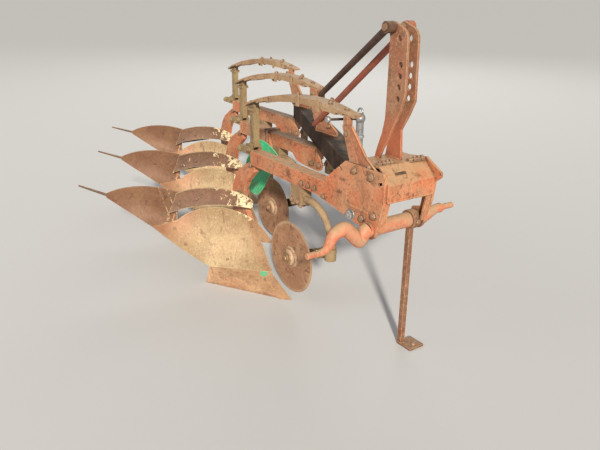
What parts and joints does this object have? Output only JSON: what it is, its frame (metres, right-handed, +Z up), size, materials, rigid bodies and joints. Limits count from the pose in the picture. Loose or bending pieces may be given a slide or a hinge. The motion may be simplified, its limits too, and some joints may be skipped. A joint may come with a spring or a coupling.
{
  "type": "mounted mouldboard plough",
  "caption": "Mounted right-hand mouldboard plough on a diagonal frame, with leaf-spring stone trip legs, disc coulters, trashboards, mast with struts and a parking stand.",
  "frame": {"origin": "middle of the outer box in plan, on the floor that the share points and the stand's foot rest on", "axes": "+X is the direction of travel, towards the tractor, +Y is to the left of it, where the unploughed land lies, and +Z is up"},
  "size_m": [3.3999, 1.6271, 1.5139],
  "materials": {
    "painted_orange": "faded, chipped and dusty orange-red paint",
    "painted_frame_dark": "dark weathered paint",
    "painted_mast": "faded orange-red paint",
    "strut_dark": "dark brown weathered steel",
    "spring_steel": "dull tan surface rust",
    "tie_steel": "olive tan weathered steel",
    "galvanised": "galvanised",
    "board_steel": "soil-polished, with light sandy rust",
    "wing_steel": "darker rust brown",
    "share_steel": "pinkish tan worn steel",
    "rod_steel": "dark brown rust",
    "disc_steel": "rust brown, flat",
    "stalk_steel": "tan weathered round bar",
    "stand_steel": "rust brown",
    "painted_green": "bright green paint"
  },
  "bodies": {
    "frame": {"main_tube": "painted_frame_dark", "cross_beam": "painted_orange", "side_plate_right": "painted_orange", "side_plate_left": "painted_orange", "mast_right": "painted_mast", "mast_left": "painted_mast", "mast_pin": "rod_steel", "strut_long": "strut_dark", "strut_short": "painted_mast", "adjuster": "galvanised", "skimmer_2": "painted_green", "skimmer_shank_2": "painted_orange", "beam_1": "painted_orange", "beam_2": "painted_orange", "beam_3": "painted_orange", "tower_1": "painted_orange", "tower_2": "painted_orange", "tower_3": "painted_orange", "spring_1": "spring_steel", "spring_2": "spring_steel", "spring_3": "spring_steel", "tie_1": "tie_steel", "tie_2": "tie_steel", "tie_3": "tie_steel", "leg_1": "painted_orange", "leg_2": "painted_orange", "leg_3": "painted_orange", "mouldboard_1": "board_steel", "mouldboard_2": "board_steel", "mouldboard_3": "board_steel", "wing_1": "wing_steel", "wing_2": "wing_steel", "wing_3": "wing_steel", "tail_1": "rod_steel", "tail_2": "rod_steel", "tail_3": "rod_steel", "share_1": "share_steel", "share_2": "share_steel", "share_3": "share_steel", "trashboard_1": "rod_steel", "trashboard_2": "rod_steel", "trashboard_3": "rod_steel", "landside_1": "share_steel", "landside_2": "share_steel", "landside_3": "share_steel", "stalk_1": "stalk_steel", "stalk_2": "stalk_steel", "stalk_3": "stalk_steel"},
    "cross_shaft": {"cross_shaft": "painted_orange"},
    "stand": {"stand_leg": "stand_steel"},
    "coulter_1": {"coulter_arm_1": "tie_steel"},
    "coulter_disc_1": {"disc_1": "disc_steel"},
    "coulter_2": {"coulter_arm_2": "tie_steel"},
    "coulter_disc_2": {"disc_2": "disc_steel"},
    "coulter_3": {"coulter_arm_3": "tie_steel"},
    "coulter_disc_3": {"disc_3": "disc_steel"}
  },
  "joints": [
    {"name": "cross_shaft_turn", "type": "hinge", "parent": "frame", "child": "cross_shaft", "pos_m": [1.572, 0.0984, 0.655], "axis": [0, 1, 0], "range_deg": [-15, 15]},
    {"name": "stand_swing", "type": "hinge", "parent": "frame", "child": "stand", "pos_m": [1.572, 0.1984, 0.655], "axis": [0, 1, 0], "range_deg": [0, 90]},
    {"name": "coulter_swivel_1", "type": "hinge", "parent": "frame", "child": "coulter_1", "pos_m": [1.244, -0.0016, 0.4], "axis": [0, 0, 1], "range_deg": [-20, 20]},
    {"name": "disc_spin_1", "type": "hinge", "parent": "coulter_1", "child": "coulter_disc_1", "pos_m": [0.893, -0.0016, 0.262], "axis": [0, 1, 0], "continuous": true},
    {"name": "coulter_swivel_2", "type": "hinge", "parent": "frame", "child": "coulter_2", "pos_m": [0.484, 0.3534, 0.4], "axis": [0, 0, 1], "range_deg": [-20, 20]},
    {"name": "disc_spin_2", "type": "hinge", "parent": "coulter_2", "child": "coulter_disc_2", "pos_m": [0.133, 0.3534, 0.262], "axis": [0, 1, 0], "continuous": true},
    {"name": "coulter_swivel_3", "type": "hinge", "parent": "frame", "child": "coulter_3", "pos_m": [-0.276, 0.7084, 0.4], "axis": [0, 0, 1], "range_deg": [-20, 20]},
    {"name": "disc_spin_3", "type": "hinge", "parent": "coulter_3", "child": "coulter_disc_3", "pos_m": [-0.627, 0.7084, 0.262], "axis": [0, 1, 0], "continuous": true}
  ]
}
